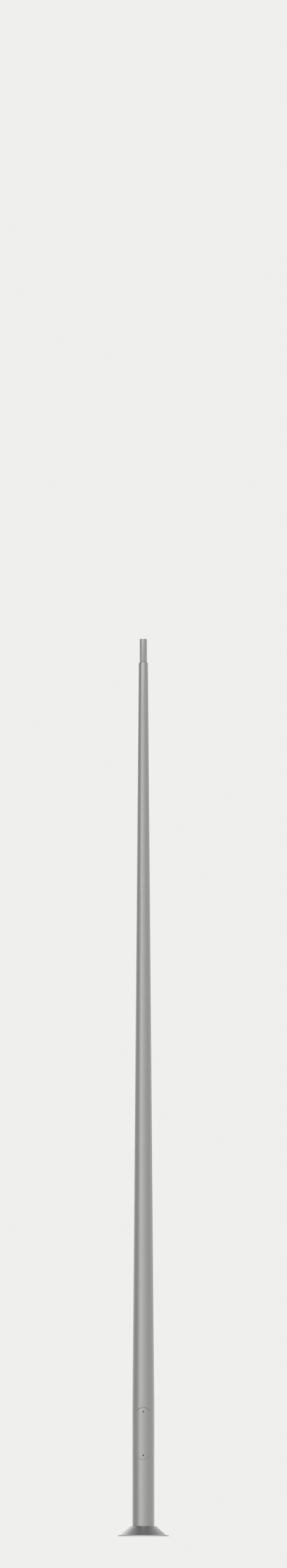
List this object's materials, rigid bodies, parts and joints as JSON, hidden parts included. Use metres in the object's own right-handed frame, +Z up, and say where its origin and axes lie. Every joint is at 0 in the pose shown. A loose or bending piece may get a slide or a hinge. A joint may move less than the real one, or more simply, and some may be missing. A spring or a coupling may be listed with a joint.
{
  "type": "lighting pole",
  "caption": "Tapered round aluminium lighting pole with a flush service door, a conical base cover over its anchor plate and a spigot that takes a luminaire.",
  "frame": {"origin": "centre of the base plate's underside, at ground level, on the shaft's axis", "axes": "+Z up along the shaft, the service door faces -Y, +X to the right as the door is faced"},
  "size_m": [0.42, 0.42, 7.4],
  "materials": {
    "shaft_aluminium": "satin ground, fine rings round the shaft",
    "spigot_aluminium": "turned",
    "cover_aluminium": "spun, satin",
    "plate_aluminium": "mill",
    "weld_aluminium": "as welded",
    "black_steel": "black oxide",
    "zinc_steel": "zinc plated",
    "brass": "turned"
  },
  "bodies": {
    "pole": {"base_plate": "plate_aluminium", "foot_weld": "weld_aluminium", "shaft": "shaft_aluminium", "spigot": "spigot_aluminium", "door_bridge_upper": "plate_aluminium", "door_bridge_lower": "plate_aluminium", "equipment_rail": "zinc_steel", "earth_stud": "brass", "earth_washer": "zinc_steel", "earth_nut": "brass"},
    "cover": {"base_cover": "cover_aluminium"},
    "door": {"door": "shaft_aluminium", "door_sleeve_upper": "plate_aluminium", "door_sleeve_lower": "plate_aluminium", "door_screw_upper": "black_steel", "door_screw_lower": "black_steel"}
  },
  "joints": [
    {"name": "cover_lift", "type": "slide", "parent": "pole", "child": "cover", "axis": [0, 0, 1], "range_m": [0, 0.5]},
    {"name": "door_lift_off", "type": "slide", "parent": "pole", "child": "door", "axis": [0, -1, 0], "range_m": [0, 0.2]}
  ]
}
